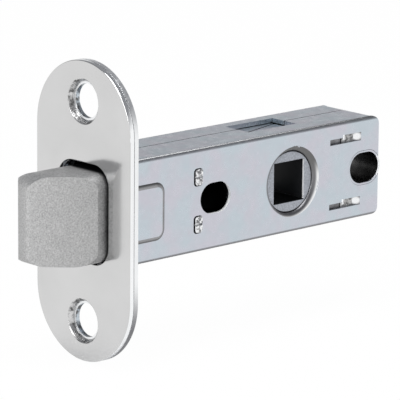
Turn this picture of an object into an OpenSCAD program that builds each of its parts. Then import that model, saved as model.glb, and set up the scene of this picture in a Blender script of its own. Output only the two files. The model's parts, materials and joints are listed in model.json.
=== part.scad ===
/* [Forend] */
// Width of the forend
forend_w = 25.2; // [24.4:0.2:27]
// Height of the forend, over its round ends
forend_h = 54.4; // [54:0.2:60]
// Thickness of the polished face plate
face_t = 1.0; // [0.8:0.1:1.5]
// Thickness of the backing plate
backing_t = 0.9; // [0.8:0.1:1.5]
// Distance between the two screw holes
screw_spacing = 39.8; // [39:0.2:42]
// Diameter of the screw holes behind the countersink
screw_hole_d = 6.2; // [5:0.1:6.4]
// Diameter of the countersink at the front
countersink_d = 8.1; // [7:0.1:9]

/* [Case] */
// Backset: from the front face to the spindle's axis
backset = 44.5; // [44:0.1:45]
// Distance between the two through-bolt holes
bolt_centres = 38; // [38:0.1:38.4]
// Thickness of the case, across the door
case_w = 13.9; // [13.8:0.1:14.4]
// Height of the case
case_h = 19; // [18.8:0.1:20]
// From the front face to the rear of the case
case_end = 67.2; // [67:0.1:68]
// Thickness of the case's sheet steel
sheet_t = 0.8; // [0.7:0.05:0.85]
// Distance of the seam from the middle, to the far side
seam_off = 0.85; // [0.5:0.05:1.2]
// Length of a through-bolt slot
slot_l = 7.4; // [7:0.1:7.4]
// Height of a through-bolt slot
slot_h = 5.7; // [5.4:0.1:6]

/* [Bolt] */
// Thickness of the bolt's head
bolt_w = 12.1; // [11.9:0.05:12.1]
// Height of the bolt's head
bolt_h = 16.2; // [15.8:0.1:16.2]
// How low the bolt's head hangs in its opening
bolt_drop = 0.4; // [0:0.05:0.45]
// How far the bolt stands out of the face
bolt_out = 11; // [10:0.5:11]
// Radius of the bolt's long corners
bolt_r = 2.4; // [2.2:0.1:2.8]
// Radius of the nose as seen from above
nose_r = 2.3; // [2:0.1:3]
// Radius of the nose's upper corner as seen from the side
nose_top_r = 3.2; // [1.5:0.1:4]
// Radius of the nose's lower corner as seen from the side
nose_bottom_r = 2; // [1.5:0.1:4]
// Distance from the face to the start of the bevel
bevel_gap = 1.7; // [1.5:0.1:2.5]
// Width of the flat at the nose, between its rounded corners
nose_flat = 0.6; // [0.5:0.1:3]
// Radius of the crowned bevel
bevel_r = 32; // [18:1:40]

/* [Follower] */
// Width of the square hole for the spindle
spindle_w = 7.6; // [7:0.1:7.7]
// Diameter of the follower's hub
hub_d = 11.4; // [11.2:0.1:11.5]
// Radius of the horns' tips
horn_r = 9.2; // [9:0.05:9.25]
// Thickness of the horns
horn_w = 3.8; // [3.4:0.1:4]

/* [Hidden] */
$fn = 64;
eps = 0.01;

// How far a cutter runs past the faces that it cuts
cut = 1;

// The door's edge bears on the plane X = 0, behind the forend; the front face lies before it
forend_t = face_t + backing_t;
face_x = -forend_t;
spindle_x = face_x + backset;
front_hole_x = spindle_x - bolt_centres / 2;
rear_hole_x = spindle_x + bolt_centres / 2;
end_x = face_x + case_end;

// Inside of the case, measured from its middle
side_y = case_w / 2;
inner_y = side_y - sheet_t;
top_z = case_h / 2;
inner_z = top_z - sheet_t;
bend_r = 0.7;
bend_inner_r = 0.2;
seam_gap = 0.2;

// Opening in the forend round the bolt
opening_play_w = 1.5;
opening_play_h = 1.8;
opening_w = bolt_w + opening_play_w;
opening_h = bolt_h + opening_play_h;
opening_r = 3.8;

// Step between a countersink and its screw hole
countersink_step = 0.3;

// Tabs at the front of the case, in notches over and under the opening
tab_w = 3.2;
tab_y = [-4.2, 3.3];
notch_gap = 0.2;

// Raised panels beside the bolt, level with its middle
panel_end = face_x + 13.1;
panel_h = 10.6;
panel_r = 2;
panel_rise = 0.42;
panel_slope = 0.8;
panel_thinning = 0.1;

// Flanges stop short of the rear corners of the side
corner_r = 1.6;
flange_end = end_x - 1.75;
rear_flange_h = 15.2;

// Windows over the follower, for the tips of its horns
window_l = 12;
window_x = spindle_x - 0.5;
window_reach = 3.1;

// Hub holes: a collar drawn inwards round each end of the hub
hub_r = hub_d / 2;
hub_end_y = side_y - 0.6;
collar_r = hub_r + 0.08;
collar_t = 0.55;
collar_lip = 0.74;
collar_depth = 1.35;
collar_shoulder = 1.1;
collar_rim_r = collar_r + collar_shoulder;
collar_overlap = 0.15;

// Bush through the rear bolt hole, which clamps the two halves together
bush_wall = 0.45;

// Spring plate, staked into both sides of the case
plate_x = face_x + 20.5;
plate_t = 1.2;
tenon_z = 4.35;
tenon_h = 2.9;
tenon_l = 1.78;
tenon_slot_l = 2.15;
tenon_slot_h = 3.3;
tenon_slot_r = 0.7;
tenon_r = 0.5;
tenon_slot_x = plate_x + plate_t / 2 + 0.15;
tenon_proud = 0.12;
stake_w = 0.3;
boss_d = 4.8;
boss_l = 1;

// Tongues lanced inwards behind the follower, and the open slots before them
tongue_x = face_x + 58;
tongue_l = 3.1;
tongue_ramp = 1.4;
tongue_in = 0.75;
tongue_h = 1.6;
tongue_z = 6.15;
slot_open_l = 3.6;
slot_open_h = 1.1;

// Anchor plate of the return springs, in front of the tongues, with lugs behind the open slots
anchor_clear = 0.05;
anchor_x = tongue_x - 2 * anchor_clear;
anchor_t = 1.6;
anchor_h = 14.4;
anchor_hole_d = 6;
lug_l = slot_open_l - 0.5;
lug_t = 1.2;
leg_notch_depth = 1.4;
leg_notch_gap = 0.1;

// Steps of the rounds in the bolt's plan
bevel_steps = 9;
nose_steps = 7;

// Bolt body, spring bore and rivets
bolt_tip = face_x - bolt_out;
bolt_rear = face_x + 8.5;
spring_bore_r = 3.9;
spring_bore_x = face_x - 0.5;
rivet_x = face_x + 5.5;
rivet_z = 6.2;
rivet_r = 1;

// Draw bars: straps in the four corners of the case, with catches behind the horns
bar_t = 1.2;
bar_clear = 0.25;
bar_side_gap = 0.2;
bar_roof_gap = 0.3;
bar_seat_gap = 0.1;
bar_y = inner_y - bar_side_gap - bar_t;
bar_front = face_x + 2.1;
bar_top = inner_z - bar_roof_gap;
bar_bottom = collar_r + collar_t + bar_clear;
catch_gap = 0.45;
horn_flank = 4.8;
catch_x = spindle_x - horn_flank + catch_gap;
catch_roof_l = 9.6;
catch_roof_t = 0.9;
catch_roof_gap = 0.12;
catch_roof_top = inner_z - catch_roof_gap;
catch_slant = 2.5;
catch_lip_w = 2.3;
catch_floor = 6.1;
catch_parting = 0.15;
horn_back = [[-9.6, 8], [-5.3, 1]];

// Compression spring between the bolt's bore and the spring plate
wire_sides = 8;
bolt_wire = 0.8;
bolt_coil_r = 3.2;
bolt_coils = 8;
coil_steps = 16;
end_coil_share = 0.11;
coil_seat_gap = 0.06;
bolt_coil_from = spring_bore_x + bolt_wire / 2 + coil_seat_gap;
bolt_coil_to = plate_x - bolt_wire / 2;

// Return springs: a leg to the anchor, one coil round the hub and a tang before a horn
return_wire = 0.9;
return_hub_gap = 0.15;
return_side_gap = 0.2;
return_turn_gap = 0.05;
return_coil_r = hub_r + return_hub_gap + return_wire / 2;
return_y = bar_y - return_side_gap - return_wire / 2;
return_pitch = return_wire + return_turn_gap;
return_steps = 28;
return_from = 90;
tang_dx = -7.5;
tang_z = 3.4;
return_sweep = 360 + atan2(tang_z, tang_dx) - return_from;
tang_gap = 0.3;
leg_end_x = tongue_x - 0.5;

// Places a YZ sketch at x, t thick along X
module along_x(x, t) {
    translate([x, 0, 0]) rotate([90, 0, 90]) linear_extrude(t) children();
}

// Places an XZ sketch from y, t thick along Y
module along_y(y, t) {
    translate([0, y + t, 0]) rotate([90, 0, 0]) linear_extrude(t) children();
}

module both_z() {
    children();
    mirror([0, 0, 1]) children();
}

module rounded(w, h, r) {
    square([w - 2 * r, h], center = true);
    square([w, h - 2 * r], center = true);
    for (sx = [-1, 1], sy = [-1, 1]) {
        translate([sx * (w / 2 - r), sy * (h / 2 - r)]) circle(r);
    }
}

module obround(l, h) {
    square([l - h, h], center = true);
    for (s = [-1, 1]) {
        translate([s * (l - h) / 2, 0]) circle(h / 2);
    }
}

module forend_outline() {
    rotate(90) obround(forend_h, forend_w);
}

module opening_outline() {
    rounded(opening_w, opening_h, opening_r);
}

module screw_positions() {
    for (s = [-1, 1]) {
        translate([0, 0, s * screw_spacing / 2]) rotate([0, 90, 0]) children();
    }
}

module face_plate() {
    color([0.84, 0.84, 0.84])
    difference() {
        along_x(face_x, face_t) difference() {
            forend_outline();
            opening_outline();
        }
        screw_positions() {
            translate([0, 0, face_x - eps])
            cylinder(h = face_t + 2 * eps, d1 = countersink_d, d2 = screw_hole_d + 2 * countersink_step);
        }
    }
}

module backing_plate() {
    color([0.72, 0.73, 0.74])
    difference() {
        along_x(-backing_t, backing_t) difference() {
            forend_outline();
            opening_outline();
        }
        screw_positions() {
            translate([0, 0, -forend_t]) cylinder(h = forend_t + cut, d = screw_hole_d);
        }
        both_z() {
            for (y = tab_y) {
                translate([-backing_t - eps, y - tab_w / 2, inner_z - notch_gap])
                cube([backing_t + 2 * eps, tab_w, sheet_t + notch_gap]);
            }
        }
    }
}

// One half of the channel section in the YZ plane, from the side wall to the seam
module channel_section(reach) {
    difference() {
        translate([-side_y, -top_z]) square([reach, case_h]);
        translate([-inner_y, -inner_z]) square([reach, 2 * inner_z]);
        for (s = [-1, 1]) {
            translate([-side_y, s * top_z]) square(2 * bend_r, center = true);
        }
    }
    for (s = [-1, 1]) {
        translate([-side_y + bend_r, s * (top_z - bend_r)]) difference() {
            circle(bend_r);
            translate([0, -s * bend_r]) square(2 * bend_r, center = true);
        }
        translate([-inner_y, s * inner_z]) difference() {
            square(2 * bend_inner_r, center = true);
            translate([bend_inner_r, -s * bend_inner_r]) circle(bend_inner_r);
        }
    }
}

// Side wall as seen along Y, with its rear corners rounded
module side_outline() {
    difference() {
        translate([0, -top_z]) square([end_x, case_h]);
        for (s = [-1, 1]) {
            translate([end_x, s * top_z]) square(2 * corner_r, center = true);
        }
    }
    for (s = [-1, 1]) {
        translate([end_x - corner_r, s * (top_z - corner_r)]) circle(corner_r);
    }
}

// The raised panel, from the wall outwards, behind the forend
module panel(grow) {
    l = 2 * (panel_end + grow);
    h = panel_h + 2 * grow;
    r = panel_r + grow;
    intersection() {
        translate([0, 0, -bolt_drop]) hull($fn = 32) {
            along_y(-side_y - eps, 2 * eps) rounded(l, h, r);
            along_y(-side_y - panel_rise, eps)
            rounded(l - 2 * panel_slope, h - 2 * panel_slope, r - panel_slope);
        }
        translate([0, -case_w, -top_z]) cube([l, case_w, case_h]);
    }
}

// Collar of a hub hole, with the wall's metal round it and a flared lip outside
module hub_collar() {
    translate([spindle_x, 0, 0]) rotate([90, 0, 0])
    rotate_extrude() translate([collar_r, side_y]) difference() {
        union() {
            translate([0, -collar_depth]) square([collar_t, collar_depth]);
            translate([0, -sheet_t]) square([collar_rim_r - collar_r, sheet_t]);
        }
        difference() {
            square(2 * collar_lip, center = true);
            translate([collar_lip, -collar_lip]) circle(collar_lip);
        }
    }
}

// A tongue pressed in from the side wall, with its ramp at the rear
module tongue() {
    translate([0, 0, tongue_z - tongue_h / 2])
    linear_extrude(tongue_h)
    polygon([
        [tongue_x, -side_y + tongue_in],
        [tongue_x + tongue_l, -side_y + tongue_in],
        [tongue_x + tongue_l + tongue_ramp, -side_y],
        [tongue_x + tongue_l + tongue_ramp + eps, -inner_y],
        [tongue_x + tongue_l + sheet_t / 2, -side_y + tongue_in + sheet_t],
        [tongue_x, -side_y + tongue_in + sheet_t]
    ]);
}

module bush_outline() {
    translate([rear_hole_x, 0]) obround(slot_l + 2 * bush_wall, slot_h + 2 * bush_wall);
}

module side_holes() {
    along_y(-side_y - cut, sheet_t + 2 * cut) {
        translate([front_hole_x, 0]) obround(slot_l, slot_h);
        translate([spindle_x, 0]) circle(collar_rim_r - collar_overlap);
        for (s = [-1, 1]) {
            translate([tenon_slot_x, s * tenon_z]) rounded(tenon_slot_l, tenon_slot_h, tenon_slot_r);
            translate([tongue_x, s * tongue_z - tongue_h / 2]) square([tongue_l + tongue_ramp, tongue_h]);
            translate([tongue_x - slot_open_l, s * tongue_z - tongue_h / 2])
            square([slot_open_l + eps, slot_open_h]);
        }
    }
}

// One half of the case, drawn as the near half; reach is the width of its flanges
module case_half(reach) {
    difference() {
        union() {
            intersection() {
                along_x(0, end_x) channel_section(reach);
                union() {
                    along_y(-side_y - cut, sheet_t + cut) side_outline();
                    translate([0, -side_y, -top_z]) cube([flange_end, reach, case_h]);
                }
            }
            translate([end_x - sheet_t, -side_y + bend_r, -rear_flange_h / 2])
            cube([sheet_t, reach - bend_r, rear_flange_h]);
            panel(0);
        }
        translate([0, sheet_t, 0]) panel(-panel_thinning);
        side_holes();
        both_z() {
            translate([window_x - window_l / 2, -side_y + reach - window_reach, inner_z - cut])
            cube([window_l, window_reach + cut, sheet_t + 2 * cut]);
        }
        along_y(-side_y - cut, case_w + 2 * cut) bush_outline();
    }
    hub_collar();
    both_z() tongue();
    both_z() {
        translate([-backing_t, (reach > side_y ? tab_y[0] : -tab_y[1]) - tab_w / 2, inner_z])
        cube([backing_t + eps, tab_w, sheet_t]);
    }
}

module case_near() {
    color([0.76, 0.78, 0.81]) case_half(side_y + seam_off - seam_gap / 2);
}

module case_far() {
    color([0.76, 0.78, 0.81]) mirror([0, 1, 0]) case_half(side_y - seam_off - seam_gap / 2);
}

module rear_bush() {
    color([0.82, 0.83, 0.84])
    along_y(-side_y, case_w) difference() {
        bush_outline();
        translate([rear_hole_x, 0]) obround(slot_l, slot_h);
    }
}

module spring_plate() {
    color([0.7, 0.71, 0.73]) {
        along_x(plate_x, plate_t) {
            square([2 * inner_y, 2 * (bar_bottom - bar_clear)], center = true);
            square([2 * (bar_y - bar_clear), 2 * (inner_z - anchor_clear)], center = true);
        }
        translate([plate_x - boss_l, 0, 0]) rotate([0, 90, 0]) cylinder(h = boss_l + eps, d = boss_d);
        both_z() {
            tenon();
            mirror([0, 1, 0]) tenon();
        }
    }
}

// A tenon through the near wall, with the mark of the stake across its end
module tenon() {
    difference() {
        along_y(-side_y - tenon_proud, sheet_t + tenon_proud + eps)
        translate([plate_x + tenon_l / 2, tenon_z]) rounded(tenon_l, tenon_h, tenon_r);
        translate([plate_x, -side_y - tenon_proud, tenon_z]) rotate([45, 0, 0])
        cube([2 * tenon_l + cut, stake_w, stake_w], center = true);
    }
}

module spring_anchor() {
    color([0.62, 0.63, 0.65])
    difference() {
        union() {
            along_x(anchor_x - anchor_t, anchor_t)
            square([2 * (inner_y - anchor_clear), anchor_h], center = true);
            both_z() {
                for (s = [-1, 1]) {
                    y = s > 0 ? inner_y - anchor_clear - lug_t : -inner_y + anchor_clear;
                    translate([anchor_x - lug_l, y, tongue_z - tongue_h / 2])
                    cube([lug_l, lug_t, tongue_h]);
                }
            }
        }
        for (s = [-1, 1]) {
            translate([anchor_x, s * return_y, -s * (anchor_h / 2)])
            cube([3 * anchor_t, return_wire + 2 * leg_notch_gap, 2 * leg_notch_depth], center = true);
        }
        rotate([0, 90, 0]) cylinder(h = end_x, d = anchor_hole_d);
    }
}

function arc(middle, r, from, to, steps) =
    [for (i = [0:steps]) let (a = from + (to - from) * i / steps) middle + r * [cos(a), sin(a)]];

// Middle of a circle of radius r1 about p1 and r2 about p2, on the left of the way from p1 to p2
function meeting(p1, r1, p2, r2) =
    let (d = norm(p2 - p1), way = (p2 - p1) / d)
    let (a = (r1 * r1 - r2 * r2 + d * d) / (2 * d))
    p1 + a * way + sqrt(r1 * r1 - a * a) * [-way.y, way.x];

function heading(v) = atan2(v.y, v.x);

// Outline in plan: straight sides, a crowned bevel on the near side and a round nose with a flat
module bolt_plan() {
    w = bolt_w / 2;
    start = [face_x - bevel_gap, -w];
    near_nose = [bolt_tip + nose_r, w - nose_r - nose_flat];
    far_nose = [bolt_tip + nose_r, w - nose_r];
    middle = meeting(near_nose, bevel_r - nose_r, start, bevel_r);
    touch = heading(near_nose - middle);
    polygon(concat(
        arc(middle, bevel_r, heading(start - middle), touch, bevel_steps),
        arc(near_nose, nose_r, touch, -180, nose_steps),
        arc(far_nose, nose_r, 180, 90, nose_steps),
        [[bolt_rear, w], [bolt_rear, -w]]
    ));
}

// Outline from the side, with the nose's corners rounded
module bolt_side() {
    difference() {
        translate([bolt_tip, -bolt_h / 2]) square([bolt_rear - bolt_tip, bolt_h]);
        for (s = [-1, 1]) {
            r = s > 0 ? nose_top_r : nose_bottom_r;
            difference() {
                translate([bolt_tip, s * bolt_h / 2]) square(2 * r, center = true);
                translate([bolt_tip + r, s * (bolt_h / 2 - r)]) circle(r);
            }
        }
    }
}

// The casting's outer form, where its three outlines meet
module bolt_casting() {
    translate([0, 0, -bolt_drop]) intersection() {
        along_x(bolt_tip - cut, bolt_rear - bolt_tip + cut) rounded(bolt_w, bolt_h, bolt_r);
        translate([0, 0, -bolt_h]) linear_extrude(2 * bolt_h) bolt_plan();
        along_y(-bolt_w, 2 * bolt_w) bolt_side();
    }
}

module latch_bolt() {
    color([0.62, 0.62, 0.61])
    difference() {
        bolt_casting();
        for (s = [0, 1]) {
            mirror([0, s, 0]) translate([bar_front - bar_seat_gap, bar_y, -bolt_h])
            cube([bolt_rear, bolt_w, 2 * bolt_h]);
        }
        translate([spring_bore_x, 0, 0]) rotate([0, 90, 0])
        cylinder(h = bolt_rear - spring_bore_x + cut, r = spring_bore_r);
        rivets();
    }
}

module rivets() {
    both_z() {
        along_y(-bar_y - bar_t, 2 * (bar_y + bar_t)) translate([rivet_x, rivet_z]) circle(rivet_r);
    }
}

module bolt_rivets() {
    color([0.75, 0.75, 0.76]) rivets();
}

// Draw bar drawn on the far side; its catch reaches in to the parting, which runs aslant
module draw_bar(side) {
    edge = side * seam_off + catch_parting;
    rear_edge = edge + side * catch_slant;
    difference() {
        union() {
            along_y(bar_y, bar_t) {
                translate([bar_front, -bar_top]) square([bolt_rear - bar_front, 2 * bar_top]);
                for (s = [-1, 1]) {
                    translate([bar_front, s > 0 ? bar_bottom : -bar_top])
                    square([catch_x + bar_t - bar_front, bar_top - bar_bottom]);
                }
            }
            both_z() {
                translate([catch_x, 0, catch_roof_top - catch_roof_t]) linear_extrude(catch_roof_t)
                polygon([[0, edge], [catch_roof_l, rear_edge], [catch_roof_l, bar_y + bar_t],
                    [0, bar_y + bar_t]]);
                translate([catch_x, edge, catch_floor])
                cube([bar_t, catch_lip_w - edge, bar_top - catch_floor]);
            }
        }
        rivets();
    }
}

module draw_bar_far() {
    color([0.66, 0.66, 0.7]) draw_bar(1);
}

module draw_bar_near() {
    color([0.72, 0.74, 0.76]) mirror([0, 1, 0]) draw_bar(-1);
}

module horn() {
    intersection() {
        circle(horn_r);
        polygon(concat([[0, 0], [-horn_flank, 0], [-horn_flank, horn_r]], horn_back));
    }
}

module follower() {
    color([0.74, 0.74, 0.75])
    translate([spindle_x, 0, 0]) difference() {
        union() {
            along_y(-hub_end_y, 2 * hub_end_y) circle(hub_r);
            along_y(-horn_w / 2, horn_w) {
                horn();
                mirror([0, 1]) horn();
            }
        }
        along_y(-side_y, case_w) square(spindle_w, center = true);
    }
}

// Sides and end caps of a tube made of n rings
function tube_faces(n) = concat(
    [[for (j = [0:wire_sides - 1]) j]],
    [for (i = [0:n - 2], j = [0:wire_sides - 1]) let (k = (j + 1) % wire_sides)
        [i * wire_sides + j, (i + 1) * wire_sides + j, (i + 1) * wire_sides + k]],
    [for (i = [0:n - 2], j = [0:wire_sides - 1]) let (k = (j + 1) % wire_sides)
        [i * wire_sides + j, (i + 1) * wire_sides + k, i * wire_sides + k]],
    [[for (j = [wire_sides - 1:-1:0]) (n - 1) * wire_sides + j]]
);

// Share of the spring's length after t turns; the end turns lie closer
function coil_share(t) = t < 1 ? end_coil_share * t
    : t > bolt_coils - 1 ? 1 - end_coil_share * (bolt_coils - t)
    : end_coil_share + (1 - 2 * end_coil_share) * (t - 1) / (bolt_coils - 2);

module bolt_spring() {
    n = bolt_coils * coil_steps + 1;
    rings = [for (i = [0:n - 1], j = [0:wire_sides - 1])
        let (a = 360 * i / coil_steps, b = 360 * j / wire_sides)
        let (x = bolt_coil_from + (bolt_coil_to - bolt_coil_from) * coil_share(i / coil_steps))
        let (r = bolt_coil_r + bolt_wire / 2 * cos(b))
        [x + bolt_wire / 2 * sin(b), r * cos(a), r * sin(a)]];
    color([0.55, 0.56, 0.58]) polyhedron(rings, tube_faces(n));
}

// Middle line of the near return spring, measured from the follower's axis
return_path = concat(
    [[leg_end_x - spindle_x, -return_y, return_coil_r]],
    [for (i = [0:return_steps])
        let (a = return_from + return_sweep * i / return_steps)
        [return_coil_r * cos(a), -return_y + return_pitch * return_sweep / 360 * i / return_steps,
            return_coil_r * sin(a)]],
    [[tang_dx, -return_y + return_pitch * return_sweep / 360, tang_z]]
);

function path_step(p, i) = p[min(i + 1, len(p) - 1)] - p[max(i - 1, 0)];

module return_spring() {
    n = len(return_path);
    rings = [for (i = [0:n - 1], j = [0:wire_sides - 1])
        let (d = path_step(return_path, i), b = 360 * j / wire_sides)
        let (side = [d.z, 0, -d.x] / norm([d.x, d.z]))
        return_path[i] + return_wire / 2 * (cos(b) * side + sin(b) * [0, 1, 0])];
    last = return_path[n - 1];
    translate([spindle_x, 0, 0]) {
        polyhedron(rings, tube_faces(n));
        translate([last.x, last.y - return_wire / 2, last.z]) rotate([-90, 0, 0])
        cylinder(h = -last.y - tang_gap, d = return_wire + 2 * eps, $fn = 16);
    }
}

module return_spring_near() {
    color([0.5, 0.51, 0.53]) return_spring();
}

module return_spring_far() {
    color([0.5, 0.51, 0.53]) mirror([0, 1, 0]) mirror([0, 0, 1]) return_spring();
}

face_plate();
backing_plate();
case_near();
case_far();
spring_plate();
rear_bush();
spring_anchor();
latch_bolt();
bolt_rivets();
draw_bar_near();
draw_bar_far();
bolt_spring();
follower();
return_spring_near();
return_spring_far();
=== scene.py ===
"""Studio scene of a tubular mortice latch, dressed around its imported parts."""

import json
import math

import bmesh
import bpy
from mathutils import Matrix, Vector

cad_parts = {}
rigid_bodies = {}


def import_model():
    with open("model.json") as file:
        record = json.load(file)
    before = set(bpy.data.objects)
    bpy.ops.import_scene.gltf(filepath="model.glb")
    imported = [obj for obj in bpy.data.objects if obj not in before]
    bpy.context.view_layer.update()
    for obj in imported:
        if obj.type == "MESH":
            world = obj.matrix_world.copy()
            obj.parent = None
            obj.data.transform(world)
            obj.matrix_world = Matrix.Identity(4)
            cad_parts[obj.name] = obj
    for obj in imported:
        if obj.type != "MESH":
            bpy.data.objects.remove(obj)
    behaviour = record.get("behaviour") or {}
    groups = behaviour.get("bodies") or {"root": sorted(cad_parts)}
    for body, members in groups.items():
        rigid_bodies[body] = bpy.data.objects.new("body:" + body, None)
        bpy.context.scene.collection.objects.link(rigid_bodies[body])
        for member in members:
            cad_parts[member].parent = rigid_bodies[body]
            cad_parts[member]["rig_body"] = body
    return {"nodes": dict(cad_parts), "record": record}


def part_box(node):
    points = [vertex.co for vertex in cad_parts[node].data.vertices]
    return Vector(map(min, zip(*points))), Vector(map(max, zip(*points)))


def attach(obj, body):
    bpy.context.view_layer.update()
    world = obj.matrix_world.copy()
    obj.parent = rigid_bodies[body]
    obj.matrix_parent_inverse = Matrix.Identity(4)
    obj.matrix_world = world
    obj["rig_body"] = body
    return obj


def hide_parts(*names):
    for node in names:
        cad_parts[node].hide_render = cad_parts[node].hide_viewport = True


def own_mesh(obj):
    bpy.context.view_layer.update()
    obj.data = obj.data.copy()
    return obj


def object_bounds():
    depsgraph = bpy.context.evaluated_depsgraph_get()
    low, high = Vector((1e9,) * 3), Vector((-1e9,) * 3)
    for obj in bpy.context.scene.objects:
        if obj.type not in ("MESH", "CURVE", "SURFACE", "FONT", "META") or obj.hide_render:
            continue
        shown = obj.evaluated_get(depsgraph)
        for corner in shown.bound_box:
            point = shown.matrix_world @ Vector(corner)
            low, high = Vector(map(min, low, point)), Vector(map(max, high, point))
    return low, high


bl_info = {
    "name": "Tubular Mortice Latch",
    "version": (1, 0, 0),
    "blender": (4, 5, 0),
    "location": "View3D > Sidebar > Latch",
    "description": "Dresses a tubular mortice latch in plated steel and cast zinc",
    "category": "Add Mesh",
}

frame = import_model()
cad_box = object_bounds()

MM = 0.001

# Points of a CAD mesh closer than this are merged
WELD = 0.002 * MM

# How far a face may lie from a plane and still belong to it
TOUCH = 0.06 * MM

# Share of a unit normal along an axis, for a face that looks straight along it or mostly so
SQUARE = 0.9
MOSTLY = 0.5

# Rounded edges: segments of each, and the angle past which an edge gets one
SEGMENTS = 3
SHARP = math.radians(30)

# Places on the latch, from its solids
FACE_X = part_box("face_plate")[0].x
RIM_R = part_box("face_plate")[1].y
ROUND_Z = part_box("face_plate")[1].z - RIM_R
CASE_END_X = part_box("case_near")[1].x
SEAM_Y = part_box("case_near")[1].y
TOP_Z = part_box("case_near")[1].z
SIDE_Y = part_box("rear_bush")[1].y
TONGUE_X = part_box("spring_anchor")[1].x
HUB_END_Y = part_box("follower")[1].y

# The spindle's axis and the front through-bolt, from the record
MOUNTS = {row["name"]: row for row in frame["record"]["mounts"]}
HUB_X = MOUNTS["spindle"]["pos_m"][0]
BOLT_WAY_X = HUB_X - MOUNTS["through_bolts"]["dims"]["spacing_x_mm"] / 2 * MM

# Width of the sensor that the lens is stated for, in millimetres
SENSOR = 36

# Soft boxes: name, place and size in metres, power in watts
LAMPS = (
    ("soft_box_top", (-0.1, -0.2, 0.9), (0.6, 0.6), 6),
    ("soft_box_left", (-0.7, -0.1, 0.35), (0.3, 0.6), 3),
)
LAMP_AIM = (0.03, 0, 0)


def length(text, default, description):
    return bpy.props.FloatProperty(
        name=text, description=description, default=default, min=0.0, unit="LENGTH", precision=5
    )


def share(text, default, description):
    return bpy.props.FloatProperty(
        name=text, description=description, default=default, min=0.0, max=1.0, subtype="FACTOR"
    )


def colour(text, default, description):
    return bpy.props.FloatVectorProperty(
        name=text, description=description, default=default, size=3, min=0.0, max=1.0,
        subtype="COLOR",
    )


def angle(text, degrees, description):
    return bpy.props.FloatProperty(
        name=text, description=description, default=math.radians(degrees), subtype="ANGLE",
        unit="ROTATION",
    )


class LatchSizes(bpy.types.PropertyGroup):
    """Sizes of the edges and curves that the finished pieces have."""

    plate_edge: length("Plate edge", 0.18 * MM, "Radius of the edges of the forend's plates")
    bolt_edge: length("Bolt edge", 0.35 * MM, "Radius of the edges of the cast bolt")
    sheet_edge: length("Sheet edge", 0.12 * MM, "Radius of the cut edges of the folded case")
    inner_edge: length("Inner edge", 0.08 * MM, "Radius of the edges of the parts in the case")
    hub_edge: length("Hub edge", 0.15 * MM, "Radius of the edges of the cast follower")
    sheet: length("Sheet", 0.8 * MM, "Thickness of the case's sheet steel")
    bend: length("Bend", 0.75 * MM, "Height of the bends along the case")
    collar: length("Collar", 5.78 * MM, "Inner radius of the collars round the hub")
    lip: length("Lip", 0.74 * MM, "Depth of the flare round each hub hole")
    flare: length("Flare", 1.5 * MM, "Width of the flare round each hub hole, at the rear")
    flare_loss: share("Flare loss", 0.38, "Share of its width that a flare loses over and under")
    tongue_z: length("Tongue height", 6.15 * MM, "Height of the lanced tongues from the middle")
    tongue: length("Tongue", 3.1 * MM, "Length of a tongue without its ramp")
    burr_l: length("Burr length", 0.42 * MM, "Length of the burr in front of each tongue")
    burr_w: length("Burr width", 0.24 * MM, "Width of a burr across the case")
    burr_h: length("Burr height", 1.0 * MM, "Height of a burr")
    burr_lift: length("Burr lift", 0.35 * MM, "Height of a burr's middle over its tongue's")


class LatchFinishes(bpy.types.PropertyGroup):
    """Colours of the finishes, and of the painted shade and highlights."""

    nickel: colour("Satin nickel", (0.645, 0.645, 0.645), "Plating of the face plate")
    zinc: colour("Zinc plate", (0.55, 0.61, 0.66), "Plating of the case")
    zinc_warm: colour("Warm zinc", (0.59, 0.59, 0.65), "Violet patches in the plating")
    # Grey for painted shade in creases, round the hub holes, on the bends, rims, flares and tongue
    # ramps; also the dark steel of the spring anchor and the marks on the staked tenons.
    shade_and_dark_steel: colour("Creases", (0.2, 0.2, 0.21), "Dull plating where the sheet is bent or pressed")
    # Painted shade on the flanks of the raised panels, in two tones that differ at random.
    flank_shade: colour("Pressed zinc", (0.3, 0.3, 0.31), "Flanks of the raised panels")
    flank_shade_pale: colour("Pale pressed zinc", (0.34, 0.34, 0.35), "Patches on those flanks")
    # Dark marks in the countersinks, screw holes and tongues; also painted shade at the foot of
    # the panel flanks, on the top of the hub flares and in the bush's bore.
    cutter_marks_and_shade: colour("Cutter marks", (0.16, 0.16, 0.16), "Torn metal in countersinks and slots")
    # Bright steel for painted highlights on rims, cut edges, flares, tongue ramps, burrs and the
    # hub's socket; on the staked tenons it is the burnished metal itself.
    bright: colour("Burnished steel", (0.9, 0.91, 0.92), "Edges that a tool has rubbed bright")
    casting: colour("Cast zinc", (0.45, 0.45, 0.45), "Casting of the bolt, and torn tongues")
    hub: colour("Hub casting", (0.38, 0.4, 0.44), "Casting of the follower")
    wire: colour("Spring wire", (0.16, 0.16, 0.17), "Oiled wire of the springs")
    # Painted shade: the near-black of faces inside the case and of the hidden faces of the bars,
    # rivets, follower and plates.
    inner_shade: colour("Grease", (0.015, 0.016, 0.018), "Old grease on the faces inside the case")


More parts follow.
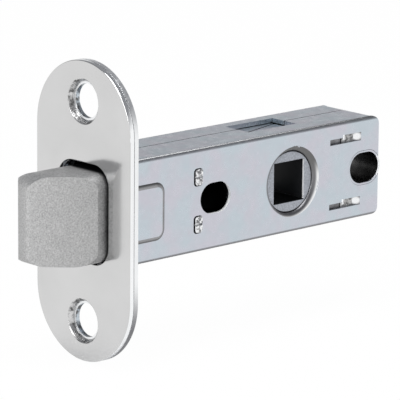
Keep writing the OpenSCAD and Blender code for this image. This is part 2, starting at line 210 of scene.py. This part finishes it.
class LatchStage(bpy.types.PropertyGroup):
    """Camera, floor and lights."""

    azimuth: angle("Azimuth", 42.756, "Direction in which the camera looks, from +Y towards +X")
    elevation: angle("Elevation", 13.253, "Height of the camera above the horizon")
    roll: angle("Roll", 0.517, "Turn of the camera about its own axis")
    distance: length("Distance", 609.787 * MM, "From the camera to the point that it looks at")
    aim_x: length("Aim", 28.1 * MM, "Point on the latch's axis that the camera is aimed by")
    aim_left: length("Aim left", 1.409 * MM, "How far left of that point the camera looks")
    aim_down: length("Aim down", 2.34 * MM, "How far below that point the camera looks")
    lens: bpy.props.FloatProperty(
        name="Lens", description="Focal length on a 36 mm sensor", default=301.2, unit="CAMERA"
    )
    floor_gap: length("Floor gap", 0.4 * MM, "From the lowest point of the latch to the floor")
    floor_half: length("Floor", 6.0, "Half the width of the floor")
    floor_paint: colour("Floor paint", (0.9, 0.9, 0.9), "Colour of the floor under the lights")
    floor_glow: share("Floor glow", 0.98, "Share of plain white that the camera sees")
    floor_shade: length("Floor shade", 40 * MM, "How near a piece stands that dims the glow")
    tent_top: colour("Tent top", (0.27, 0.275, 0.29), "Studio tent overhead; it is white below")


def widen_flares(bm, sizes):
    """Spreads the rounded lip of each hub hole into a flare that is widest at the rear."""
    for vert in bm.verts:
        arm = Vector((vert.co.x - HUB_X, 0, vert.co.z))
        lip = arm.length - sizes.collar
        in_lip = TOUCH / 3 < lip < sizes.lip + TOUCH / 2
        if in_lip and abs(vert.co.y) > SIDE_Y - sizes.lip - TOUCH:
            rearward = arm.x / arm.length
            width = sizes.flare * (1 - sizes.flare_loss + sizes.flare_loss * rearward)
            vert.co += arm.normalized() * lip * (width / sizes.lip - 1)


def piece_of(name, bm, materials):
    """A piece made of a bmesh, which is freed."""
    mesh = bpy.data.meshes.new(name)
    bm.to_mesh(mesh)
    bm.free()
    for material in materials:
        mesh.materials.append(material)
    piece = bpy.data.objects.new(mesh.name, mesh)
    bpy.context.scene.collection.objects.link(piece)
    return piece


def copy_of(node, edge, materials, zone=None, reshape=None):
    """A copy of a CAD node in its place, with rounded edges.

    zone gives the number of a face's material from its centre and its normal, and reshape
    changes the copy's bmesh before that.
    """
    bm = bmesh.new()
    bm.from_mesh(frame["nodes"][node].data)
    bmesh.ops.remove_doubles(bm, verts=bm.verts, dist=WELD)
    if reshape:
        reshape(bm)
    bm.normal_update()
    for face in bm.faces:
        face.smooth = True
        face.material_index = zone(face.calc_center_median(), face.normal) if zone else 0
    piece = piece_of(node + "_dressed", bm, materials)
    if edge > 0:
        bevel = piece.modifiers.new("edges", "BEVEL")
        bevel.width = edge
        bevel.segments = SEGMENTS
        bevel.limit_method = "ANGLE"
        bevel.angle_limit = SHARP
        shading = piece.modifiers.new("shading", "WEIGHTED_NORMAL")
        shading.keep_sharp = True
    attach(piece, frame["nodes"][node]["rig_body"])
    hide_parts(node)
    return piece


def on_rim(centre):
    """Whether a point lies on the outer edge of the forend."""
    past = max(0, abs(centre.z) - ROUND_Z)
    rim_depth = 0.5 * MM
    return math.hypot(centre.y, past) > RIM_R - rim_depth


def facing_middle(centre, normal):
    """Whether a face of the rear bush looks into its bore."""
    low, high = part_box("rear_bush")
    out = Vector((centre.x - (low.x + high.x) / 2, 0, centre.z))
    return normal.dot(out) < 0


def node_of(tree, kind, **inputs):
    """A shader node with some of its inputs set or linked."""
    made = tree.nodes.new(kind)
    for key, value in inputs.items():
        socket = made.inputs[key.replace("_", " ")]
        if isinstance(value, bpy.types.NodeSocket):
            tree.links.new(value, socket)
        else:
            socket.default_value = value
    return made


def place(tree, stretch=(1, 1, 1)):
    """The point on the piece in metres, stretched along the axes."""
    coords = tree.nodes.new("ShaderNodeTexCoord").outputs["Object"]
    return node_of(tree, "ShaderNodeMapping", Vector=coords, Scale=stretch).outputs[0]


def noise(tree, grain, detail=3.0, roughness=0.5, stretch=(1, 1, 1)):
    """Noise whose patches are about grain metres across."""
    made = node_of(
        tree, "ShaderNodeTexNoise", Vector=place(tree, stretch), Scale=1 / grain, Detail=detail,
        Roughness=roughness,
    )
    return made.outputs["Fac"]


def ramp(tree, fac, low, high, start=0.35, end=0.65):
    """A colour or grey that goes from low to high as fac passes start and end."""
    made = tree.nodes.new("ShaderNodeValToRGB")
    tree.links.new(fac, made.inputs[0])
    for element, position, value in zip(made.color_ramp.elements, (start, end), (low, high)):
        element.position = position
        element.color = (*value, 1) if hasattr(value, "__len__") else (value, value, value, 1)
    return made.outputs[0]


def bump(tree, height, distance, strength=1.0, normal=None):
    made = node_of(tree, "ShaderNodeBump", Strength=strength, Distance=distance, Height=height)
    if normal is not None:
        tree.links.new(normal, made.inputs["Normal"])
    return made.outputs[0]


def maths(tree, operation, *values):
    """What a maths node makes of some numbers or sockets."""
    made = tree.nodes.new("ShaderNodeMath")
    made.operation = operation
    for socket, value in zip(made.inputs, values):
        if isinstance(value, bpy.types.NodeSocket):
            tree.links.new(value, socket)
        else:
            socket.default_value = value
    return made.outputs[0]


def mixed_shaders(tree, share_of_second, first, second):
    made = tree.nodes.new("ShaderNodeMixShader")
    for socket, source in zip(made.inputs, (share_of_second, first, second)):
        tree.links.new(source, socket)
    return made.outputs[0]


def metal(name, metallic=1.0):
    """A new metal and its node tree and main shader."""
    made = bpy.data.materials.new(name)
    made.use_nodes = True
    shader = made.node_tree.nodes["Principled BSDF"]
    shader.inputs["Metallic"].default_value = metallic
    return made, made.node_tree, shader


def shades(base, spread):
    """Two colours a little darker and a little lighter than base."""
    return tuple(c * (1 - spread) for c in base), tuple(min(1, c * (1 + spread)) for c in base)


def satin_nickel(name, base):
    """Plated steel with a fine upright brush, smooth enough to mirror what stands close to it."""
    made, tree, shader = metal(name)
    low, high = shades(base, spread=0.025)
    patches = noise(tree, grain=9 * MM)
    brushed = noise(tree, grain=0.06 * MM, stretch=(1, 1, 0.05))
    tree.links.new(ramp(tree, patches, low, high), shader.inputs["Base Color"])
    tree.links.new(ramp(tree, brushed, low=0.1, high=0.14), shader.inputs["Roughness"])
    tree.links.new(bump(tree, brushed, distance=0.0003 * MM), shader.inputs["Normal"])
    return made


def zinc_plate(name, base, warm, rough=(0.26, 0.38), metallic=1.0):
    """Zinc plating in patches of two colours, with a fine grain; less metallic, it is duller."""
    made, tree, shader = metal(name, metallic)
    shader.inputs["Specular IOR Level"].default_value = 0.1 + 0.4 * metallic
    patches = noise(tree, grain=5 * MM, detail=4)
    spangle = noise(tree, grain=1.1 * MM, detail=5, roughness=0.6)
    fine = noise(tree, grain=0.12 * MM, detail=3)
    coarse = bump(tree, spangle, distance=0.006 * MM, strength=0.5)
    colours = ramp(tree, patches, base, warm, start=0.4, end=0.62)
    tree.links.new(colours, shader.inputs["Base Color"])
    tree.links.new(ramp(tree, spangle, *rough), shader.inputs["Roughness"])
    tree.links.new(bump(tree, fine, 0.002 * MM, normal=coarse), shader.inputs["Normal"])
    return made


def cast_zinc(name, base, grain, depth, rough=(0.5, 0.62)):
    """Blasted die casting: a sandy surface with small pits."""
    made, tree, shader = metal(name, metallic=0.9)
    low, high = shades(base, spread=0.3)
    patches = noise(tree, grain=4 * MM)
    sand = noise(tree, grain, detail=5, roughness=0.65)
    tree.links.new(ramp(tree, sand, low, high, start=0.3, end=0.7), shader.inputs["Base Color"])
    tree.links.new(ramp(tree, patches, *rough), shader.inputs["Roughness"])
    tree.links.new(bump(tree, sand, depth), shader.inputs["Normal"])
    return made


def torn_metal(name, base, marks, grain):
    """Metal that a tool has torn or hammered: bright, with dark marks."""
    made, tree, shader = metal(name)
    blotches = noise(tree, grain, detail=4, roughness=0.6)
    colours = ramp(tree, blotches, marks, base, start=0.4, end=0.56)
    tree.links.new(colours, shader.inputs["Base Color"])
    tree.links.new(ramp(tree, blotches, low=0.45, high=0.2), shader.inputs["Roughness"])
    tree.links.new(bump(tree, blotches, distance=grain / 12), shader.inputs["Normal"])
    return made


def oiled_and_shaded_metal(name, base, rough=(0.25, 0.4)):
    """Dark metal in soft patches: oiled spring wire and dark steel, and painted shade inside the
    case and in the bush's bore.
    """
    made, tree, shader = metal(name)
    low, high = shades(base, spread=0.25)
    patches = noise(tree, grain=2 * MM)
    smears = noise(tree, grain=0.3 * MM)
    tree.links.new(ramp(tree, patches, low, high), shader.inputs["Base Color"])
    tree.links.new(ramp(tree, smears, *rough), shader.inputs["Roughness"])
    return made


def darkened(made, colour, value, start, end):
    """Paints shade into a material's colour, mixing it with a darker one as value goes from start
    to end; a bright material left unmixed is a painted highlight.
    """
    tree = made.node_tree
    shader = tree.nodes["Principled BSDF"]
    unshaded = shader.inputs["Base Color"].links[0].from_socket
    shade_share = node_of(tree, "ShaderNodeMapRange", Value=value, From_Min=start, From_Max=end)
    shade_share.interpolation_type = "SMOOTHSTEP"
    mixed = tree.nodes.new("ShaderNodeMix")
    mixed.data_type = "RGBA"
    tree.links.new(shade_share.outputs[0], mixed.inputs["Factor"])
    tree.links.new(unshaded, mixed.inputs["A"])
    mixed.inputs["B"].default_value = (*colour, 1)
    tree.links.new(mixed.outputs["Result"], shader.inputs["Base Color"])
    return made


def shaded_creases(made, colour, reach, unshaded=0.75, full_shade=0.35):
    """Paints shade into the creases of a material, where the faces within reach hide more of the
    sky.
    """
    sky = node_of(made.node_tree, "ShaderNodeAmbientOcclusion", Distance=reach)
    return darkened(made, colour, sky.outputs["AO"], unshaded, full_shade)


def along(made, axis):
    """The distance of a point from the middle of the frame along an axis."""
    tree = made.node_tree
    return node_of(tree, "ShaderNodeSeparateXYZ", Vector=place(tree)).outputs[axis]


def either_way(made, axis):
    """The same distance, without its sign."""
    return maths(made.node_tree, "ABSOLUTE", along(made, axis))


def off_centre(made, x, z=0, wide=1, high=1):
    """How far a point lies from (x, +-z) seen from the side, in half widths of an oval.

    Without the half widths it is a distance in metres.
    """
    tree = made.node_tree
    across = maths(tree, "DIVIDE", maths(tree, "SUBTRACT", along(made, "X"), x), wide)
    upright = maths(tree, "DIVIDE", maths(tree, "SUBTRACT", either_way(made, "Z"), z), high)
    squares = [maths(tree, "POWER", distance, 2) for distance in (across, upright)]
    return maths(tree, "SQRT", maths(tree, "ADD", *squares))


class LatchOperator:
    """What the operators share."""

    bl_options = {"REGISTER", "UNDO"}

    def execute(self, context):
        scene = context.scene
        self.build(scene.latch_sizes, scene.latch_finishes)
        return {"FINISHED"}


class LATCH_OT_face_plate(LatchOperator, bpy.types.Operator):
    """Make the satin face plate of the forend"""

    bl_idname = "latch.face_plate"
    bl_label = "Face Plate"

    def build(self, sizes, finishes):
        face = satin_nickel("satin_nickel", finishes.nickel)
        # The rim is painted bright as a highlight, with painted shade in its creases.
        rim = satin_nickel("nickel_rim", finishes.bright)
        shaded_creases(rim, finishes.shade_and_dark_steel, reach=0.25 * MM)
        torn = torn_metal("countersink", finishes.nickel, finishes.cutter_marks_and_shade, grain=1.1 * MM)

        def on_plate(centre, normal):
            if abs(normal.x) > SQUARE:
                return 0
            if on_rim(centre):
                return 1
            return 2 if abs(centre.z) > ROUND_Z else 0

        copy_of("face_plate", sizes.plate_edge, [face, rim, torn], on_plate)


class LATCH_OT_backing_plate(LatchOperator, bpy.types.Operator):
    """Make the zinc plated plate behind the face plate"""

    bl_idname = "latch.backing_plate"
    bl_label = "Backing Plate"

    def build(self, sizes, finishes):
        # Painted shade in the creases of the plating and the rim; the rim and the front ring are
        # painted bright as highlights, and the rim is painted darker towards the bottom as shade.
        plating = zinc_plate("backing_zinc", finishes.zinc, finishes.zinc_warm)
        shaded_creases(plating, finishes.shade_and_dark_steel, reach=0.4 * MM)
        rim = zinc_plate("backing_bright", finishes.bright, finishes.bright)
        shaded_creases(rim, finishes.shade_and_dark_steel, reach=0.25 * MM)
        darkened(rim, finishes.shade_and_dark_steel, along(rim, "Z"), start=-10 * MM, end=-20 * MM)
        torn = torn_metal("screw_hole", finishes.zinc, finishes.cutter_marks_and_shade, grain=0.7 * MM)
        ring = zinc_plate("backing_ring", finishes.bright, finishes.bright)

        def on_plate(centre, normal):
            if normal.x < -SQUARE:
                return 3
            if abs(normal.x) > MOSTLY:
                return 0
            if on_rim(centre):
                return 1
            return 2 if abs(centre.z) > ROUND_Z else 0

        copy_of("backing_plate", sizes.plate_edge, [plating, rim, torn, ring], on_plate)


def case_finishes(sizes, finishes):
    """The materials of the case by the names of its zones."""
    inner_y = SIDE_Y - sizes.sheet

    plating = zinc_plate("case_zinc", finishes.zinc, finishes.zinc_warm)
    # Painted shade in the creases of the plating, and a painted dark ring of shade round each hub
    # hole.
    shaded_creases(plating, finishes.shade_and_dark_steel, reach=0.7 * MM)
    ring_inner, ring_outer = sizes.collar + 0.4 * MM, sizes.collar + 0.7 * MM
    darkened(plating, finishes.shade_and_dark_steel, off_centre(plating, HUB_X), ring_outer, ring_inner)

    # The panel flanks are painted dark as shade, darkest at their foot.
    flank_shade = zinc_plate("case_flank_shade", finishes.flank_shade, finishes.flank_shade_pale)
    foot_y, crest_y = SIDE_Y + 0.1 * MM, SIDE_Y + 0.28 * MM
    darkened(flank_shade, finishes.cutter_marks_and_shade, either_way(flank_shade, "Y"), crest_y, foot_y)

    # A painted highlight: a bright oval on each tongue's ramp, shaded to grey round it.
    slope = zinc_plate("tongue_ramp", finishes.bright, finishes.bright, rough=(0.2, 0.3))
    slope_x = TONGUE_X + sizes.tongue + 0.75 * MM
    oval = off_centre(slope, slope_x, sizes.tongue_z, wide=1.1 * MM, high=0.95 * MM)
    darkened(slope, finishes.shade_and_dark_steel, oval, start=0.45, end=1)

    # A painted highlight on the outer ring of each flare, with painted shade towards the collar
    # and towards the top.
    flare = zinc_plate("hub_flare", finishes.bright, finishes.bright, rough=(0.3, 0.4))
    shade_reach, highlight_reach = sizes.collar + 0.45 * MM, sizes.collar + 1.05 * MM
    darkened(flare, finishes.shade_and_dark_steel, off_centre(flare, HUB_X), highlight_reach, shade_reach)
    darkened(flare, finishes.cutter_marks_and_shade, along(flare, "Z"), start=0, end=3.5 * MM)

    # The cut edges of the slots are painted bright as a highlight near the outer face and dark as
    # shade further in.
    cut = zinc_plate("case_cut", finishes.bright, finishes.bright, (0.3, 0.4), metallic=0)
    lit_y, shade_y = SIDE_Y - 0.45 * MM, inner_y + 0.1 * MM
    darkened(cut, finishes.inner_shade, either_way(cut, "Y"), lit_y, shade_y)

    # Painted shade on the bottom bends, darker towards the bottom edge.
    under = zinc_plate("case_under_bend", finishes.zinc, finishes.zinc_warm)
    side_z, under_z = -TOP_Z + 0.85 * MM, -TOP_Z + 0.3 * MM
    darkened(under, finishes.shade_and_dark_steel, along(under, "Z"), side_z, under_z)

    # Painted shade on the top bends, darker towards the top.
    over = zinc_plate("case_over_bend", finishes.zinc, finishes.zinc_warm, rough=(0.4, 0.5))
    side_z, over_z = TOP_Z - 0.85 * MM, TOP_Z + 0.1 * MM
    darkened(over, finishes.shade_and_dark_steel, along(over, "Z"), side_z, over_z)

    return {
        "plating": plating,
        # Painted shade on the inner faces and the seam.
        "inner_shade": oiled_and_shaded_metal("case_inner_shade", finishes.inner_shade, rough=(0.3, 0.5)),
        "panel_flank": flank_shade,
        "tongue_slope": slope,
        # The tongues' outer faces take a dark torn casting: partly painted shade of the lanced
        # holes, partly blotchy tool marks.
        "tongue_flat": torn_metal("tongue_top", finishes.casting, finishes.cutter_marks_and_shade, 0.4 * MM),
        "hub_flare": flare,
        "bolt_way": cut,
        "under_bend": under,
        "over_bend": over,
    }


def case_zones(sizes):
    """Tests for the case's zones by name; a face is in the first one that it passes."""
    inner_y = SIDE_Y - sizes.sheet
    inner_z = TOP_Z - sizes.sheet

    def in_wall(centre):
        return 0 < SIDE_Y - abs(centre.y) < sizes.sheet

    def on_bend(normal):
        return 0.1 < abs(normal.y) < 0.99

    def panel_flank(centre, normal):
        """The flanks of the raised panels, which stand out of the sides."""
        return abs(centre.y) > SIDE_Y + TOUCH / 3 and abs(normal.y) < 0.97

    def tongue_slope(centre, normal):
        """The slope at the rear of each tongue."""
        leans = normal.x < -0.2 and abs(normal.y) > MOSTLY
        return leans and in_wall(centre) and centre.x > TONGUE_X

    def tongue_flat(centre, normal):
        """The outer face of each tongue."""
        overlap = 0.2 * MM
        on_flat = in_wall(centre) and 0 < centre.x - TONGUE_X < sizes.tongue + overlap
        return on_flat and normal.y * centre.y > 0 and abs(normal.y) > SQUARE

    def hub_flare(centre, normal):
        reach = math.hypot(centre.x - HUB_X, centre.z)
        return in_wall(centre) and reach < sizes.collar + sizes.flare and abs(normal.y) < 0.995

    def bolt_way(centre, normal):
        """The cut edge of the front through-bolt slot."""
        half = 4 * MM
        return in_wall(centre) and abs(normal.y) < MOSTLY and abs(centre.x - BOLT_WAY_X) < half

    def under_bend(centre, normal):
        """The bend between a side and the bottom of the case."""
        return centre.z < -TOP_Z + sizes.bend and on_bend(normal) and normal.z < -0.05

    def over_bend(centre, normal):
        """The bend between a side and the top of the case."""
        return centre.z > TOP_Z - sizes.bend and on_bend(normal) and normal.z > 0.05

    def inner_shade(centre, normal):
        """The inner faces and the seam, behind the tabs in the forend, which are painted dark as
        shade.
        """
        inside = abs(centre.y) < inner_y + TOUCH and abs(centre.z) < inner_z + TOUCH
        in_seam = abs(normal.y) > SQUARE and abs(centre.y - SEAM_Y) < 0.3 * MM
        return centre.x > 0 and (inside or in_seam)

    return {
        "panel_flank": panel_flank,
        "tongue_slope": tongue_slope,
        "tongue_flat": tongue_flat,
        "hub_flare": hub_flare,
        "bolt_way": bolt_way,
        "under_bend": under_bend,
        "over_bend": over_bend,
        "inner_shade": inner_shade,
    }


def add_burrs(sizes, material):
    """The small lips that the lancing tool leaves at the front end of each tongue."""
    bm = bmesh.new()
    for side in (-1, 1):
        for level in (-1, 1):
            verts = bmesh.ops.create_cube(bm, size=1)["verts"]
            bmesh.ops.scale(bm, verts=verts, vec=(sizes.burr_l, sizes.burr_w, sizes.burr_h))
            middle = (TONGUE_X, side * SIDE_Y, level * sizes.tongue_z + sizes.burr_lift)
            bmesh.ops.translate(bm, verts=verts, vec=middle)
    bmesh.ops.bevel(
        bm, geom=bm.edges, offset=sizes.inner_edge, segments=SEGMENTS, profile=0.5,
        affect="EDGES", material=-1,
    )
    for face in bm.faces:
        face.smooth = True
    piece = piece_of("tongue_burrs", bm, [material])
    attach(piece, frame["nodes"]["case_near"]["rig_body"])


class LATCH_OT_case(LatchOperator, bpy.types.Operator):
    """Make the two folded halves of the case and the rear bush"""

    bl_idname = "latch.case"
    bl_label = "Case"

    def build(self, sizes, finishes):
        named = case_finishes(sizes, finishes)
        zones = case_zones(sizes)
        names = list(named)

        def on_case(centre, normal):
            if centre.x > CASE_END_X - sizes.sheet / 2:
                return names.index("plating")
            passed = (name for name, test in zones.items() if test(centre, normal))
            return names.index(next(passed, "plating"))

        def in_bush(centre, normal):
            if abs(normal.y) > MOSTLY:
                return 2 if centre.x > CASE_END_X - 0.5 * MM else 0
            return 1 if facing_middle(centre, normal) else 0

        def flared(bm):
            widen_flares(bm, sizes)

        for node in ("case_near", "case_far"):
            copy_of(node, sizes.sheet_edge, list(named.values()), on_case, flared)
        # The bush's bore is painted dark as shade, and its rear end bright as a highlight.
        bore = oiled_and_shaded_metal("bush_bore", finishes.cutter_marks_and_shade, rough=(0.2, 0.3))
        bush = [named["plating"], bore, named["bolt_way"]]
        copy_of("rear_bush", sizes.sheet_edge, bush, in_bush)
        # The burrs take the slots' bright cut material, a painted highlight.
        add_burrs(sizes, named["bolt_way"])


class LATCH_OT_bolt(LatchOperator, bpy.types.Operator):
    """Make the cast bolt, its rivets and its draw bars"""

    bl_idname = "latch.bolt"
    bl_label = "Bolt"

    def build(self, sizes, finishes):
        casting = cast_zinc("bolt_casting", finishes.casting, grain=0.28 * MM, depth=0.045 * MM)
        # Painted shade: the bolt is darker where it runs into the forend.
        lit_x, shade_x = FACE_X - 0.3 * MM, FACE_X + 1 * MM
        darkened(casting, finishes.inner_shade, along(casting, "X"), lit_x, shade_x)
        bars = zinc_plate("bar_zinc", finishes.zinc, finishes.zinc_warm)
        inner_shade = oiled_and_shaded_metal("bar_inner_shade", finishes.inner_shade, rough=(0.3, 0.5))

        def on_bar(centre, normal):
            """Painted shade, but for the roofs of the catches, which the windows show."""
            roof_depth = 1.2 * MM
            return 1 if abs(centre.z) < TOP_Z - roof_depth else 0

        copy_of("latch_bolt", sizes.bolt_edge, [casting])
        # The rivets are painted dark all over, as shade.
        copy_of("bolt_rivets", sizes.inner_edge, [inner_shade])
        for node in ("draw_bar_near", "draw_bar_far"):
            copy_of(node, sizes.inner_edge, [bars, inner_shade], on_bar)


class LATCH_OT_follower(LatchOperator, bpy.types.Operator):
    """Make the cast follower with its square hole"""

    bl_idname = "latch.follower"
    bl_label = "Follower"

    def build(self, sizes, finishes):
        casting = cast_zinc("hub_casting", finishes.hub, 0.35 * MM, 0.02 * MM, rough=(0.35, 0.5))
        # The square socket is painted bright as a highlight at its mouth and dark as shade deeper
        # in; the rest of the follower, but for its ends, is painted dark as shade.
        inner_shade = oiled_and_shaded_metal("hub_inner_shade", finishes.inner_shade, rough=(0.4, 0.6))
        socket = zinc_plate("hub_socket", finishes.bright, finishes.bright, (0.3, 0.4), metallic=0)
        lit_y, shade_y = HUB_END_Y - 0.35 * MM, HUB_END_Y - 0.5 * MM
        darkened(socket, finishes.inner_shade, either_way(socket, "Y"), lit_y, shade_y)
        socket_reach = sizes.collar - 1 * MM
        end_depth = 2 * MM

        def on_hub(centre, normal):
            reach = math.hypot(centre.x - HUB_X, centre.z)
            if abs(normal.x) > SQUARE and reach < socket_reach:
                return 2
            on_end = abs(normal.y) >= MOSTLY and abs(centre.y) >= SIDE_Y - end_depth
            return 0 if on_end else 1

        copy_of("follower", sizes.hub_edge, [casting, inner_shade, socket], on_hub)


class LATCH_OT_inner_plates(LatchOperator, bpy.types.Operator):
    """Make the spring plate and the anchor plate inside the case"""

    bl_idname = "latch.inner_plates"
    bl_label = "Inner Plates"

    def build(self, sizes, finishes):
        staked = torn_metal("staked_zinc", finishes.bright, finishes.shade_and_dark_steel, grain=0.45 * MM)
        # Faces inside the case are painted dark as shade.
        inner_shade = oiled_and_shaded_metal("plate_inner_shade", finishes.inner_shade, rough=(0.3, 0.5))
        inner_y = SIDE_Y - sizes.sheet

        def in_case(centre, normal):
            return 1 if abs(centre.y) < inner_y + TOUCH else 0

        copy_of("spring_plate", sizes.inner_edge, [staked, inner_shade], in_case)
        copy_of("spring_anchor", sizes.inner_edge, [oiled_and_shaded_metal("anchor_steel", finishes.shade_and_dark_steel)])


class LATCH_OT_springs(LatchOperator, bpy.types.Operator):
    """Make the bolt's spring and the two return springs"""

    bl_idname = "latch.springs"
    bl_label = "Springs"

    def build(self, sizes, finishes):
        wire = oiled_and_shaded_metal("spring_wire", finishes.wire)
        piece = copy_of("bolt_spring", 0, [wire])
        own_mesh(piece)
        for node in ("return_spring_near", "return_spring_far"):
            copy_of(node, 0, [wire])


def camera_axes(stage):
    """The camera's right, up and forward directions."""
    a, e, r = stage.azimuth, stage.elevation, stage.roll
    level_part = math.cos(e)
    forward = Vector((level_part * math.sin(a), level_part * math.cos(a), -math.sin(e)))
    level = forward.cross(Vector((0, 0, 1))).normalized()
    upright = level.cross(forward)
    right = math.cos(r) * level + math.sin(r) * upright
    up = math.cos(r) * upright - math.sin(r) * level
    return right, up, forward


def add_camera(stage):
    right, up, forward = camera_axes(stage)
    aim = Vector((stage.aim_x, 0, 0)) - stage.aim_left * right - stage.aim_down * up
    data = bpy.data.cameras.new("camera")
    data.lens = stage.lens
    data.sensor_width = SENSOR
    data.clip_start = 20 * MM
    camera = bpy.data.objects.new("camera", data)
    turn = Matrix((right, up, -forward)).transposed().to_4x4()
    camera.matrix_world = Matrix.Translation(aim - stage.distance * forward) @ turn
    bpy.context.scene.collection.objects.link(camera)
    bpy.context.scene.camera = camera


def floor_white(stage):
    """A floor that is plain white to the camera and in reflections, with painted shadow in the
    reflections near a piece.
    """
    made = bpy.data.materials.new("floor_white")
    made.use_nodes = True
    tree = made.node_tree
    tree.nodes.clear()
    path = tree.nodes.new("ShaderNodeLightPath").outputs
    # Painted shadow in reflections: their white dims where a piece stands near, by ambient
    # occlusion.
    sky = node_of(tree, "ShaderNodeAmbientOcclusion", Distance=stage.floor_shade)
    open_floor = ramp(tree, sky.outputs["AO"], low=0.2, high=1, start=0.45, end=0.9)
    mirrored = maths(tree, "MULTIPLY", path["Is Glossy Ray"], open_floor)
    seen = maths(tree, "MAXIMUM", path["Is Camera Ray"], mirrored)
    glow = maths(tree, "MULTIPLY", seen, stage.floor_glow)
    paint = node_of(tree, "ShaderNodeBsdfDiffuse", Color=(*stage.floor_paint, 1))
    white = node_of(tree, "ShaderNodeEmission", Color=(1, 1, 1, 1), Strength=1.0)
    mixed = mixed_shaders(tree, glow, paint.outputs[0], white.outputs[0])
    node_of(tree, "ShaderNodeOutputMaterial", Surface=mixed)
    return made


def add_floor(stage):
    bm = bmesh.new()
    bmesh.ops.create_grid(bm, x_segments=1, y_segments=1, size=stage.floor_half)
    bmesh.ops.translate(bm, verts=bm.verts, vec=(0, 0, cad_box[0].z - stage.floor_gap))
    floor = piece_of("floor", bm, [floor_white(stage)])


def add_world(stage):
    """A studio tent, white round the latch and darker overhead, and plain white to the camera."""
    world = bpy.data.worlds.new("studio")
    bpy.context.scene.world = world
    world.use_nodes = True
    tree = world.node_tree
    tree.nodes.clear()
    coords = tree.nodes.new("ShaderNodeTexCoord").outputs["Generated"]
    height = node_of(tree, "ShaderNodeSeparateXYZ", Vector=coords).outputs["Z"]
    tent = ramp(tree, height, low=1.0, high=stage.tent_top, start=0.03, end=0.45)
    room = node_of(tree, "ShaderNodeBackground", Color=tent, Strength=1.0)
    white = node_of(tree, "ShaderNodeBackground", Color=(1, 1, 1, 1), Strength=1.0)
    path = tree.nodes.new("ShaderNodeLightPath").outputs
    mixed = mixed_shaders(tree, path["Is Camera Ray"], room.outputs[0], white.outputs[0])
    node_of(tree, "ShaderNodeOutputWorld", Surface=mixed)


def add_lamp(name, place_at, size, power):
    data = bpy.data.lights.new(name, "AREA")
    data.shape = "RECTANGLE"
    data.size, data.size_y = size
    data.energy = power
    lamp = bpy.data.objects.new(name, data)
    lamp.location = place_at
    lamp.rotation_mode = "QUATERNION"
    lamp.rotation_quaternion = (Vector(LAMP_AIM) - Vector(place_at)).to_track_quat("-Z", "Y")
    bpy.context.scene.collection.objects.link(lamp)


class LATCH_OT_stage(bpy.types.Operator):
    """Set up the camera, the floor and the soft studio light"""

    bl_idname = "latch.stage"
    bl_label = "Stage"
    bl_options = {"REGISTER", "UNDO"}

    def execute(self, context):
        stage = context.scene.latch_stage
        add_camera(stage)
        add_floor(stage)
        add_world(stage)
        for lamp in LAMPS:
            add_lamp(*lamp)
        context.scene.view_settings.view_transform = "Standard"
        return {"FINISHED"}


PIECES = (
    LATCH_OT_face_plate,
    LATCH_OT_backing_plate,
    LATCH_OT_case,
    LATCH_OT_bolt,
    LATCH_OT_follower,
    LATCH_OT_inner_plates,
    LATCH_OT_springs,
)
GROUPS = (
    ("latch_sizes", LatchSizes),
    ("latch_finishes", LatchFinishes),
    ("latch_stage", LatchStage),
)


class LATCH_PT_panel(bpy.types.Panel):
    """The sizes, the finishes and the pieces of the latch"""

    bl_idname = "LATCH_PT_panel"
    bl_label = "Mortice Latch"
    bl_space_type = "VIEW_3D"
    bl_region_type = "UI"
    bl_category = "Latch"

    def draw(self, context):
        for name, group in GROUPS:
            box = self.layout.box()
            for key in group.__annotations__:
                box.prop(getattr(context.scene, name), key)
        for operator in (*PIECES, LATCH_OT_stage):
            self.layout.operator(operator.bl_idname)


def register():
    for name, group in GROUPS:
        bpy.utils.register_class(group)
        setattr(bpy.types.Scene, name, bpy.props.PointerProperty(type=group))
    for cls in (*PIECES, LATCH_OT_stage, LATCH_PT_panel):
        bpy.utils.register_class(cls)


def unregister():
    for cls in reversed((*PIECES, LATCH_OT_stage, LATCH_PT_panel)):
        bpy.utils.unregister_class(cls)
    for name, group in reversed(GROUPS):
        delattr(bpy.types.Scene, name)
        bpy.utils.unregister_class(group)


def main():
    register()
    bpy.ops.latch.face_plate()
    bpy.ops.latch.backing_plate()
    bpy.ops.latch.case()
    bpy.ops.latch.bolt()
    bpy.ops.latch.follower()
    bpy.ops.latch.inner_plates()
    bpy.ops.latch.springs()
    bpy.ops.latch.stage()


if __name__ == "__main__":
    main()
